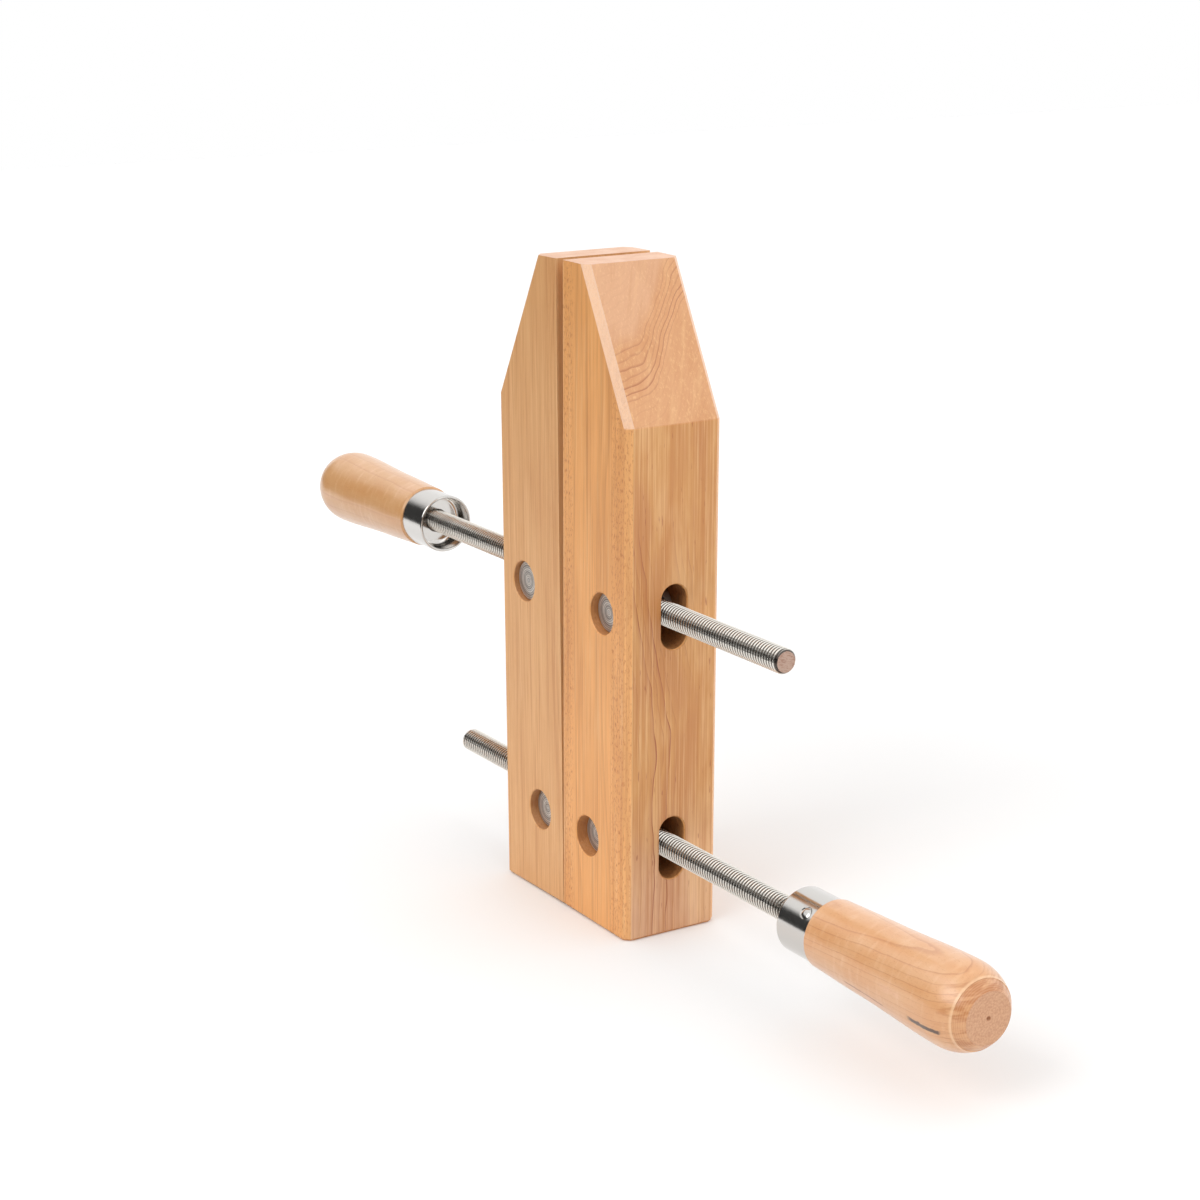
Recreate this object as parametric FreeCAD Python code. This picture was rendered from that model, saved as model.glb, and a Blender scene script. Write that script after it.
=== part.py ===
import FreeCAD, Part

"""Wooden handscrew clamp: two hardwood jaws drawn together by two double-threaded spindles.

Millimetres. X runs across the jaws, from the left jaw to the right one. Y runs through the jaws, and -Y
is the face that shows the nuts. Z runs up the jaws. The origin is on the surface that the clamp stands
on, under the seam between the jaws, midway through their thickness. The clamp is nearly closed: the
butts almost touch, and the tips stand a little apart.
"""

import math
import os

from FreeCAD import Rotation, Vector

# Jaws
JAW_LENGTH = 254.0
JAW_DEPTH = 45.0
JAW_THICKNESS = 41.5
TIP_DEPTH = 15.4
NOSE_LENGTH = 55.5
ARRIS_CHAMFER = 2.6
BUTT_CHAMFER = 1.0
JAW_SPREAD = 0.545
BUTT_GAP = 0.3

# Slots that let the spindles tilt, and the bores that hold the nuts
SLOT_WIDTH = 11.3
SLOT_HEIGHT = 25.0
SLOT_MOUTH_CHAMFER = 0.5
NUT_BORE_DIAMETER = 15.9
NUT_BORE_CHAMFER = 0.4

# Swivel nuts
NUT_BORE_CLEARANCE = 0.08
NUT_LENGTH = 33.5
NUT_END_CHAMFER = 0.5
SPINDLE_CLEARANCE = 0.3

# Spindles
SPINDLE_DIAMETER = 9.5
SPINDLE_END_CHAMFER = 0.9
RELIEF_LENGTH = 8.0
RELIEF_DEPTH = 0.8
SPINDLE_IN_HANDLE = 58.0

# Ferrules
FERRULE_DIAMETER = 24.4
FERRULE_LENGTH = 16.5
FERRULE_WALL = 1.2
CUP_DEPTH = 8.0
CUP_FLOOR = 1.2
CUP_CORNER = 2.2

# Handles
SHOULDER_DIAMETER = 25.8
SWELL_DISTANCES = [18.0, 36.0, 52.0]
SWELL_DIAMETERS = [27.3, 28.5, 30.3]
BULB_DIAMETER = 31.4
BULB_DISTANCE = 68.5
HANDLE_LENGTH = 82.9
END_RING_DIAMETER = 25.2
END_RING_BACK = 3.5
END_RING_STEP = 0.3
END_FLAT_DIAMETER = 18.6
SHOULDER_EASE = 0.7
HANDLE_SEAT_GAP = 0.05
CENTRE_MARK_DIAMETER = 1.8
CENTRE_MARK_DEPTH = 0.9

# Ferrule pins
PIN_DIAMETER = 2.6
PIN_HEAD_DIAMETER = 4.4
PIN_HEAD_HEIGHT = 0.7
PIN_DIMPLE_DIAMETER = 5.4
PIN_DIMPLE_DEPTH = 0.5
PIN_DISTANCE = 12.7

# Each spindle: how far its nuts lie from the seam and from the butts, how far its handle's ferrule and its
# free end stand from the seam, the way its handle points, and where its pin sits round the ferrule.
SPINDLES = {
    "middle": {
        "nut_depth": 27.1,
        "nut_height": 125.5,
        "ferrule_reach": 129.5,
        "free_reach": 116.5,
        "handle_side": -1,
        "pin_angle": -146.0,
        "nut_recess": {"left": 2.2, "right": 3.3},
    },
    "end": {
        "nut_depth": 17.2,
        "nut_height": 34.3,
        "ferrule_reach": 129.5,
        "free_reach": 110.5,
        "handle_side": 1,
        "pin_angle": -46.0,
        "nut_recess": {"left": 3.6, "right": 4.7},
    },
}
SIDES = {"left": -1, "right": 1}

X_AXIS = Vector(1, 0, 0)
Y_AXIS = Vector(0, 1, 0)
Z_AXIS = Vector(0, 0, 1)
ORIGIN = Vector(0, 0, 0)

spread = math.radians(JAW_SPREAD)
nut_diameter = NUT_BORE_DIAMETER - 2 * NUT_BORE_CLEARANCE
nut_thread_diameter = SPINDLE_DIAMETER + 2 * SPINDLE_CLEARANCE
butt_lift = (JAW_DEPTH - BUTT_CHAMFER) * math.sin(spread)
front_face = -JAW_THICKNESS / 2


def nut_place(spindle, side):
    """Return the centre of a nut, with the jaw leaning out by half the jaws' spread."""
    depth = spindle["nut_depth"]
    height = spindle["nut_height"]
    across = BUTT_GAP / 2 + depth * math.cos(spread) + height * math.sin(spread)
    up = butt_lift + height * math.cos(spread) - depth * math.sin(spread)
    return Vector(side * across, 0, up)


def spindle_height(spindle):
    """Return the height of a spindle's axis, which runs through both its nuts."""
    return nut_place(spindle, 1).z


def revolved(outline):
    """Turn a closed outline of (along, radius) edges about the X axis into a solid."""
    return Part.Face(Part.Wire(outline)).revolve(ORIGIN, X_AXIS, 360)


def line(start, end):
    """Return a straight edge between two (along, radius) points."""
    return Part.makeLine(Vector(start[0], start[1], 0), Vector(end[0], end[1], 0))


def arc(start, middle, end):
    """Return an arc through three (along, radius) points."""
    points = [Vector(p[0], p[1], 0) for p in (start, middle, end)]
    return Part.Arc(*points).toShape()


def swell(stations):
    """Return a smooth edge through (along, radius) points that ends level with the axis."""
    curve = Part.BSplineCurve()
    slope = Vector(stations[1][0] - stations[0][0], stations[1][1] - stations[0][1], 0)
    curve.interpolate(Points=[Vector(a, r, 0) for a, r in stations], InitialTangent=slope.normalize(),
                      FinalTangent=X_AXIS)
    return curve.toShape()


def polyline(points):
    """Return the straight edges that join (along, radius) points in order."""
    return [line(a, b) for a, b in zip(points, points[1:])]


def rod_along_x(start, end, diameter):
    """Return a round bar on the X axis."""
    return Part.makeCylinder(diameter / 2, end - start, Vector(start, 0, 0), X_AXIS)


def edges_where(shape, test):
    """Return the edges of a shape whose two end points both pass a test."""
    return [e for e in shape.Edges if all(test(v.Point) for v in e.Vertexes)]


def jaw_blank():
    """Return a jaw with its clamping face on x = 0, its butt on z = 0 and its nose tapered."""
    shoulder = JAW_LENGTH - NOSE_LENGTH
    corners = [(0, 0), (JAW_DEPTH, 0), (JAW_DEPTH, shoulder), (TIP_DEPTH, JAW_LENGTH), (0, JAW_LENGTH)]
    points = [Vector(x, front_face, z) for x, z in corners + corners[:1]]
    blank = Part.Face(Part.makePolygon(points)).extrude(Y_AXIS * JAW_THICKNESS)

    def on_outer_arris(p):
        on_back = abs(p.x - JAW_DEPTH) < 1e-6
        on_tip = abs(p.z - JAW_LENGTH) < 1e-6 and abs(p.x - TIP_DEPTH) < 1e-6
        return on_back or on_tip

    arrises = [e for e in edges_where(blank, on_outer_arris) if abs(e.tangentAt(e.FirstParameter).y) < 1e-6]
    blank = blank.makeChamfer(ARRIS_CHAMFER, arrises)
    return blank.makeChamfer(BUTT_CHAMFER, edges_where(blank, lambda p: abs(p.z) < 1e-6))


def slot_cutter(height):
    """Return the round-ended slot through a jaw at a height, with its outer mouth eased."""
    half_run = (SLOT_HEIGHT - SLOT_WIDTH) / 2
    ends = [Vector(0, 0, height - half_run), Vector(0, 0, height + half_run)]

    def obround(start, length, radius):
        body = Part.makeBox(length, 2 * radius, 2 * half_run, Vector(start, -radius, height - half_run))
        for end in ends:
            body = body.fuse(Part.makeCylinder(radius, length, Vector(start, 0, end.z), X_AXIS))
        return body

    slot = obround(-1, JAW_DEPTH + 2, SLOT_WIDTH / 2)
    mouth = SLOT_MOUTH_CHAMFER
    for end in ends:
        start = Vector(JAW_DEPTH - mouth, 0, end.z)
        slot = slot.fuse(Part.makeCone(SLOT_WIDTH / 2, SLOT_WIDTH / 2 + mouth, mouth, start, X_AXIS))
    wedge = [
        Vector(JAW_DEPTH - mouth, -SLOT_WIDTH / 2, height - half_run),
        Vector(JAW_DEPTH, -SLOT_WIDTH / 2 - mouth, height - half_run),
        Vector(JAW_DEPTH, SLOT_WIDTH / 2 + mouth, height - half_run),
        Vector(JAW_DEPTH - mouth, SLOT_WIDTH / 2, height - half_run),
    ]
    flare = Part.Face(Part.makePolygon(wedge + wedge[:1])).extrude(Z_AXIS * 2 * half_run)
    return slot.fuse(flare).removeSplitter()


def nut_bore_cutter(depth, height):
    """Return the bore through a jaw that holds a nut, with both rims eased."""
    radius = NUT_BORE_DIAMETER / 2
    ease = NUT_BORE_CHAMFER
    cutter = Part.makeCylinder(radius, JAW_THICKNESS + 2, Vector(depth, front_face - 1, height), Y_AXIS)
    for side in (-1, 1):
        rim = Vector(depth, side * (JAW_THICKNESS / 2 - ease), height)
        cutter = cutter.fuse(Part.makeCone(radius, radius + ease, ease, rim, Y_AXIS * side))
    return cutter


def make_jaw(side):
    """Return a jaw in its place, leaning out about the inner edge of its butt."""
    jaw = jaw_blank()
    for spindle in SPINDLES.values():
        jaw = jaw.cut(slot_cutter(spindle["nut_height"]))
        jaw = jaw.cut(nut_bore_cutter(spindle["nut_depth"], spindle["nut_height"]))
    if side < 0:
        jaw = jaw.mirror(ORIGIN, X_AXIS)
    jaw.rotate(ORIGIN, Y_AXIS, side * JAW_SPREAD)
    jaw.translate(Vector(side * BUTT_GAP / 2, 0, butt_lift))
    return jaw


def make_nut(spindle, side_name):
    """Return a swivel nut: a steel barrel through the jaw, bored across for the spindle."""
    place = nut_place(spindle, SIDES[side_name])
    start = front_face + spindle["nut_recess"][side_name]
    barrel = Part.makeCylinder(nut_diameter / 2, NUT_LENGTH, Vector(place.x, start, place.z), Y_AXIS)
    rims = [e for e in barrel.Edges if isinstance(e.Curve, Part.Circle)]
    barrel = barrel.makeChamfer(NUT_END_CHAMFER, rims)
    bore = rod_along_x(-nut_diameter, nut_diameter, nut_thread_diameter)
    bore.translate(place)
    return barrel.cut(bore)


def set_on_spindle(solid, spindle):
    """Move a solid from the X axis, its handle end towards +X, onto a spindle's axis."""
    if spindle["handle_side"] < 0:
        solid.rotate(ORIGIN, Z_AXIS, 180)
    solid.translate(Vector(0, 0, spindle_height(spindle)))
    return solid


def make_spindle(spindle):
    """Return a spindle, with the plain relief that parts its left-hand and right-hand threads."""
    radius = SPINDLE_DIAMETER / 2
    start = -spindle["free_reach"]
    end = spindle["ferrule_reach"] + SPINDLE_IN_HANDLE
    ease = SPINDLE_END_CHAMFER
    half_relief = RELIEF_LENGTH / 2
    outline = [
        (start, 0),
        (start, radius - ease),
        (start + ease, radius),
        (-half_relief - RELIEF_DEPTH, radius),
        (-half_relief, radius - RELIEF_DEPTH),
        (half_relief, radius - RELIEF_DEPTH),
        (half_relief + RELIEF_DEPTH, radius),
        (end - ease, radius),
        (end, radius - ease),
        (end, 0),
        (start, 0),
    ]
    return set_on_spindle(revolved(polyline(outline)), spindle)


def pin_cutter():
    """Return the pin's hole through a ferrule and the dimple that its head sits in."""
    outer = FERRULE_DIAMETER / 2
    hole = Part.makeCylinder(PIN_DIAMETER / 2 + HANDLE_SEAT_GAP, outer, Vector(PIN_DISTANCE, 0, 0), Z_AXIS)
    floor = outer - PIN_DIMPLE_DEPTH
    dimple_floor = PIN_HEAD_DIAMETER / 2 + HANDLE_SEAT_GAP
    dimple = Part.makeCone(dimple_floor, PIN_DIMPLE_DIAMETER / 2, PIN_DIMPLE_DEPTH,
                           Vector(PIN_DISTANCE, 0, floor), Z_AXIS)
    return hole.fuse(dimple)


def turned(solid, spindle):
    """Turn a solid about the X axis to the angle of a spindle's pin, up being zero."""
    solid.rotate(ORIGIN, X_AXIS, -spindle["handle_side"] * spindle["pin_angle"])
    return solid


def make_ferrule(spindle):
    """Return a ferrule: a steel sleeve whose floor sets back from its rolled lip like a cup."""
    outer = FERRULE_DIAMETER / 2
    inner = outer - FERRULE_WALL
    lip = FERRULE_WALL / 2
    floor_back = CUP_DEPTH + CUP_FLOOR
    corner = CUP_CORNER
    bend = corner * (1 - math.sqrt(0.5))
    hole = nut_thread_diameter / 2
    outline = [
        arc((lip, inner), (0, inner + lip), (lip, outer)),
        line((lip, outer), (FERRULE_LENGTH, outer)),
        line((FERRULE_LENGTH, outer), (FERRULE_LENGTH, inner)),
        line((FERRULE_LENGTH, inner), (floor_back, inner)),
        line((floor_back, inner), (floor_back, hole)),
        line((floor_back, hole), (CUP_DEPTH, hole)),
        line((CUP_DEPTH, hole), (CUP_DEPTH, inner - corner)),
        arc((CUP_DEPTH, inner - corner), (CUP_DEPTH - bend, inner - bend), (CUP_DEPTH - corner, inner)),
        line((CUP_DEPTH - corner, inner), (lip, inner)),
    ]
    ferrule = revolved(outline).cut(turned(pin_cutter(), spindle))
    ferrule.translate(Vector(spindle["ferrule_reach"], 0, 0))
    return set_on_spindle(ferrule, spindle)


def make_handle(spindle):
    """Return a turned handle: a tenon for the ferrule, a swelling grip and a blunt dome with a ring and a flat."""
    tenon = FERRULE_DIAMETER / 2 - FERRULE_WALL - HANDLE_SEAT_GAP
    tenon_start = CUP_DEPTH + CUP_FLOOR + HANDLE_SEAT_GAP
    shoulder = FERRULE_LENGTH + HANDLE_SEAT_GAP
    bulb = FERRULE_LENGTH + BULB_DISTANCE
    end = FERRULE_LENGTH + HANDLE_LENGTH
    ring = end - END_RING_BACK
    dome_run = ring - bulb
    dome_drop = (BULB_DIAMETER - END_RING_DIAMETER) / 2
    dome_radius = (dome_run ** 2 + dome_drop ** 2) / (2 * dome_drop)
    half_way = dome_run / 2
    half_fall = dome_radius - math.sqrt(dome_radius ** 2 - half_way ** 2)
    ring_foot = END_RING_DIAMETER / 2 - END_RING_STEP
    flat = END_FLAT_DIAMETER / 2
    nose_mid = (end - END_RING_BACK * 0.45, flat + (ring_foot - flat) * 0.56)
    grip_start = shoulder + SHOULDER_EASE
    outline = polyline([
        (end, flat),
        (end, 0),
        (tenon_start, 0),
        (tenon_start, tenon),
        (shoulder, tenon),
        (shoulder, SHOULDER_DIAMETER / 2 - SHOULDER_EASE),
        (grip_start, SHOULDER_DIAMETER / 2),
    ])
    stations = [(grip_start, SHOULDER_DIAMETER / 2)]
    for distance, diameter in zip(SWELL_DISTANCES, SWELL_DIAMETERS):
        stations.append((FERRULE_LENGTH + distance, diameter / 2))
    stations.append((bulb, BULB_DIAMETER / 2))
    outline.append(swell(stations))
    dome_middle = (bulb + half_way, BULB_DIAMETER / 2 - half_fall)
    outline.append(arc((bulb, BULB_DIAMETER / 2), dome_middle, (ring, END_RING_DIAMETER / 2)))
    outline.append(line((ring, END_RING_DIAMETER / 2), (ring, ring_foot)))
    outline.append(arc((ring, ring_foot), nose_mid, (end, flat)))
    handle = revolved(outline)
    bore_end = SPINDLE_IN_HANDLE + SPINDLE_CLEARANCE
    handle = handle.cut(rod_along_x(0, bore_end, nut_thread_diameter))
    mark = Part.makeCone(0, CENTRE_MARK_DIAMETER / 2, CENTRE_MARK_DEPTH,
                         Vector(end - CENTRE_MARK_DEPTH, 0, 0), X_AXIS)
    pin_hole = Part.makeCylinder(PIN_DIAMETER / 2 + HANDLE_SEAT_GAP, FERRULE_DIAMETER,
                                 Vector(PIN_DISTANCE, 0, 0), Z_AXIS)
    handle = handle.cut(mark).cut(turned(pin_hole, spindle))
    handle.translate(Vector(spindle["ferrule_reach"], 0, 0))
    return set_on_spindle(handle, spindle)


def make_pin(spindle):
    """Return the pin that locks a ferrule to its handle, with a low domed head."""
    inner_end = nut_thread_diameter / 2
    head_seat = FERRULE_DIAMETER / 2 - PIN_DIMPLE_DEPTH + HANDLE_SEAT_GAP
    head = PIN_HEAD_DIAMETER / 2
    head_top = head_seat + PIN_HEAD_HEIGHT
    rim = PIN_HEAD_HEIGHT * 0.35
    dome_mid = head * math.sin(math.pi / 4)
    dome_mid_height = head_seat + rim + (PIN_HEAD_HEIGHT - rim) * math.cos(math.pi / 4)
    shank = PIN_DIAMETER / 2
    neck = head_seat + rim
    outline = polyline([(neck, head), (neck, shank), (inner_end, shank), (inner_end, 0), (head_top, 0)])
    outline.append(arc((head_top, 0), (dome_mid_height, dome_mid), (neck, head)))
    pin = revolved(outline)
    pin.rotate(ORIGIN, Y_AXIS, -90)
    pin.translate(Vector(PIN_DISTANCE, 0, 0))
    pin = turned(pin, spindle)
    pin.translate(Vector(spindle["ferrule_reach"], 0, 0))
    return set_on_spindle(pin, spindle)


def build():
    """Return every piece of the clamp by name."""
    pieces = {}
    for side_name, side in SIDES.items():
        pieces["jaw_" + side_name] = make_jaw(side)
        for name, spindle in SPINDLES.items():
            pieces["nut_" + name + "_" + side_name] = make_nut(spindle, side_name)
    for name, spindle in SPINDLES.items():
        pieces["spindle_" + name] = make_spindle(spindle)
        pieces["ferrule_" + name] = make_ferrule(spindle)
        pieces["handle_" + name] = make_handle(spindle)
        pieces["ferrule_pin_" + name] = make_pin(spindle)
    return pieces


os.makedirs("parts", exist_ok=True)
for node, shape in build().items():
    shape.exportStep("parts/" + node + ".step")
    box = shape.BoundBox
    print(node, len(shape.Solids), shape.isValid(), round(shape.Volume, 1),
          [round(v, 2) for v in (box.XMin, box.YMin, box.ZMin, box.XMax, box.YMax, box.ZMax)])
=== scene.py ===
"""The looks of a wooden handscrew clamp, built on the frame of its CAD pieces.

Metres, in the frame of the CAD: X across the jaws, -Y towards the face that shows the nuts, Z up the jaws.
Sizes that a maker would give in millimetres are held in millimetres and are turned to metres where a mesh or
a material needs them.
"""

from __future__ import annotations

import logging
import math
from dataclasses import dataclass
from enum import Enum
from typing import Any, Sequence, Union

import bmesh
import bpy
from bmesh.types import BMesh
from bpy.types import Material, NodeSocket, Object
from mathutils import Matrix, Vector

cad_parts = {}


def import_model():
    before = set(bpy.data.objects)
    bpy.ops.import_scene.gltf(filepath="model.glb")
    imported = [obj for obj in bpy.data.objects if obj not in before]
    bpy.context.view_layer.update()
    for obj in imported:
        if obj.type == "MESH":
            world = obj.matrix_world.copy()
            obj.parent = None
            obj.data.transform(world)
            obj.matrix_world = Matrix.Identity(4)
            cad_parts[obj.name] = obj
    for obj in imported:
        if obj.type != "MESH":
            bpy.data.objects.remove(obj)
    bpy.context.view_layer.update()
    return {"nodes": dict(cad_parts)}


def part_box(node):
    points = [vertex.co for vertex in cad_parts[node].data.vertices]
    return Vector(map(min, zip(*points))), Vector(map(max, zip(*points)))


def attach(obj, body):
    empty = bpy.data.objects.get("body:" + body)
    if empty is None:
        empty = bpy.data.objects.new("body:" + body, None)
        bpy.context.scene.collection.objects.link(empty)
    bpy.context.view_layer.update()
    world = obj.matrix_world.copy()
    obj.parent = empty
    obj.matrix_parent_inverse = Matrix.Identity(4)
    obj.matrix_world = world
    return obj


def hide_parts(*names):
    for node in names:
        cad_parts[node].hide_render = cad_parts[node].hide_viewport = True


MM = 0.001
FULL_TURN = 2.0 * math.pi
THREAD_WELD = 0.004 * MM
LATHE_WELD = 0.002 * MM
CUT_REACH = 0.001 * MM
Colour = tuple[float, float, float]
LOG = logging.getLogger("handscrew")


def paint(red: int, green: int, blue: int) -> Colour:
    """Turn a colour as a screen shows it, 0 to 255, into the linear colour that a shader takes.

    Args:
        red: The red share.
        green: The green share.
        blue: The blue share.

    Returns:
        The linear colour.
    """
    def linear(share: float) -> float:
        """Undo the screen's curve for one share between 0 and 1."""
        return share / 12.92 if share <= 0.04045 else ((share + 0.055) / 1.055) ** 2.4

    return linear(red / 255), linear(green / 255), linear(blue / 255)


class Side(Enum):
    """The side of the seam that a piece lies on, as its sign along X."""

    LEFT = -1
    RIGHT = 1


class Hand(Enum):
    """The hand of a thread, as the sign of its turn while it advances along +X."""

    LEFT_HAND = -1
    RIGHT_HAND = 1


class Reading:
    """A number that varies over a surface, with the maths that a finish needs."""

    def __init__(self, surface: Wiring, socket: NodeSocket) -> None:
        """Hold a node tree and the socket that gives the number."""
        self.surface = surface
        self.socket = socket

    def _with(self, operation: str, first: Number, second: Number = 0.0) -> Reading:
        """Add one Math node and return its result."""
        node = self.surface.node("ShaderNodeMath", {"operation": operation}, {0: first, 1: second})
        return Reading(self.surface, node.outputs[0])

    def __add__(self, other: Number) -> Reading:
        """Return self + other."""
        return self._with("ADD", self, other)

    def __radd__(self, other: Number) -> Reading:
        """Return other + self."""
        return self._with("ADD", other, self)

    def __sub__(self, other: Number) -> Reading:
        """Return self - other."""
        return self._with("SUBTRACT", self, other)

    def __rsub__(self, other: Number) -> Reading:
        """Return other - self."""
        return self._with("SUBTRACT", other, self)

    def __mul__(self, other: Number) -> Reading:
        """Return self * other."""
        return self._with("MULTIPLY", self, other)

    def __rmul__(self, other: Number) -> Reading:
        """Return other * self."""
        return self._with("MULTIPLY", other, self)

    def __truediv__(self, other: Number) -> Reading:
        """Return self / other."""
        return self._with("DIVIDE", self, other)

    def __pow__(self, other: Number) -> Reading:
        """Return self to the power of other."""
        return self._with("POWER", self, other)

    def size(self) -> Reading:
        """Return the number without its sign."""
        return self._with("ABSOLUTE", self)

    def whole(self) -> Reading:
        """Return the whole number below."""
        return self._with("FLOOR", self)

    def part(self) -> Reading:
        """Return what is left above the whole number below."""
        return self._with("FRACT", self)

    def wave(self) -> Reading:
        """Return the sine."""
        return self._with("SINE", self)

    def step(self, low: float, high: float) -> Reading:
        """Rise smoothly from 0 at one value to 1 at another.

        Args:
            low: Where the step is 0.
            high: Where the step is 1, which may lie below low.

        Returns:
            The step, held between 0 and 1.
        """
        if low > high:
            return 1.0 - self.step(high, low)
        inputs = {"Value": self, "From Min": low, "From Max": high}
        node = self.surface.node("ShaderNodeMapRange", {"interpolation_type": "SMOOTHSTEP"}, inputs)
        return Reading(self.surface, node.outputs[0])


Number = Union[Reading, float]
Tint = Union[Colour, NodeSocket]


class Wiring:
    """A node tree under construction."""

    def __init__(self, tree: bpy.types.NodeTree) -> None:
        """Take a node tree and clear it."""
        self.tree = tree
        self.tree.nodes.clear()

    def node(self, kind: str, settings: dict[str, Any] | None = None, inputs: dict[Any, Any] | None = None) -> Any:
        """Add a node.

        Args:
            kind: The node's type.
            settings: Attributes of the node, set before its sockets.
            inputs: Values, readings or sockets by input name or number.

        Returns:
            The node.
        """
        node = self.tree.nodes.new(kind)
        for name, value in (settings or {}).items():
            setattr(node, name, value)
        for key, value in (inputs or {}).items():
            self.feed(node.inputs[key], value)
        return node

    def feed(self, socket: NodeSocket, value: Any) -> None:
        """Link or set an input of a node.

        Args:
            socket: The input.
            value: A reading or a socket to link, or a value.
        """
        if isinstance(value, Reading):
            value = value.socket
        if isinstance(value, NodeSocket):
            self.tree.links.new(value, socket)
        elif isinstance(value, tuple) and len(value) == 3 and socket.type == "RGBA":
            socket.default_value = (*value, 1.0)
        else:
            socket.default_value = value

    def noise(self, at: Sequence[Number], detail: float = 2.0, roughness: float = 0.5) -> Reading:
        """Return smooth noise between about 0 and 1.

        Args:
            at: The three readings that the noise is looked up with, at one feature a unit.
            detail: How many finer layers it has.
            roughness: How strong those layers are.

        Returns:
            The noise.
        """
        vector = self.node("ShaderNodeCombineXYZ", {}, dict(enumerate(at)))
        inputs = {"Vector": vector.outputs[0], "Scale": 1.0, "Detail": detail, "Roughness": roughness}
        return Reading(self, self.node("ShaderNodeTexNoise", {}, inputs).outputs[0])

    def chance(self, number: Reading) -> Reading:
        """Return a random number between 0 and 1 that is the same wherever a reading is the same."""
        node = self.node("ShaderNodeTexWhiteNoise", {"noise_dimensions": "1D"}, {"W": number})
        return Reading(self, node.outputs[0])

    def blend(self, share: Number, first: Tint, second: Tint) -> NodeSocket:
        """Return a colour between two, with a share from 0 to 1 of the second."""
        settings = {"data_type": "RGBA", "clamp_factor": True}
        return self.node("ShaderNodeMix", settings, {0: share, 6: first, 7: second}).outputs[2]


class Surface(Wiring):
    """A material under construction: a principled shader, and a colour that is laid on in coats."""

    def __init__(self, name: str, colour: Tint) -> None:
        """Start a material with only a principled shader and its output.

        Args:
            name: The material's name.
            colour: The colour under the coats.
        """
        self.material = bpy.data.materials.new(name)
        self.material.use_nodes = True
        super().__init__(self.material.node_tree)
        self.shader = self.node("ShaderNodeBsdfPrincipled")
        self.node("ShaderNodeOutputMaterial", {}, {"Surface": self.shader.outputs[0]})
        self.colour = colour

    def coat(self, share: Number, tint: Tint) -> None:
        """Lay a colour over those so far, with a share from 0 to 1."""
        self.colour = self.blend(share, self.colour, tint)

    def place(self) -> tuple[Reading, Reading, Reading]:
        """Look up the place on the piece.

        Returns:
            Readings of x, y and z, in millimetres.
        """
        where = self.node("ShaderNodeTexCoord").outputs["Object"]
        scaled = self.node("ShaderNodeVectorMath", {"operation": "SCALE"}, {0: where, "Scale": 1.0 / MM})
        apart = self.node("ShaderNodeSeparateXYZ", {}, {0: scaled.outputs[0]})
        return tuple(Reading(self, output) for output in apart.outputs)

    def relief(self, height: Reading, depth_mm: float) -> None:
        """Feed the shader's normal from a height, whose steps of 1 stand for a depth in millimetres."""
        bump = self.node("ShaderNodeBump", {}, {"Height": height, "Distance": depth_mm * MM, "Strength": 1.0})
        self.tree.links.new(bump.outputs[0], self.shader.inputs["Normal"])

    def set(self, **inputs: Any) -> None:
        """Set or link inputs of the shader, with underscores for the spaces in their names."""
        for name, value in inputs.items():
            self.feed(self.shader.inputs[name.replace("_", " ")], value)


@dataclass(frozen=True)
class JawPlace:
    """Where a point of a jaw lies, with masks from 0 to 1 for the jaw's faces.

    Attributes:
        x: The place across the clamp, in millimetres, like y and z.
        depth: The distance from the clamping face, in millimetres.
        height: The distance along the jaw from the butt, in millimetres.
        near: The share of the thickness, from 0 at the front face to 1 at the back face.
    """

    x: Reading
    y: Reading
    z: Reading
    depth: Reading
    height: Reading
    near: Reading
    on_outer: Reading
    on_nose: Reading
    on_chamfer: Reading
    on_nose_chamfer: Reading
    on_tip: Reading


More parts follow.
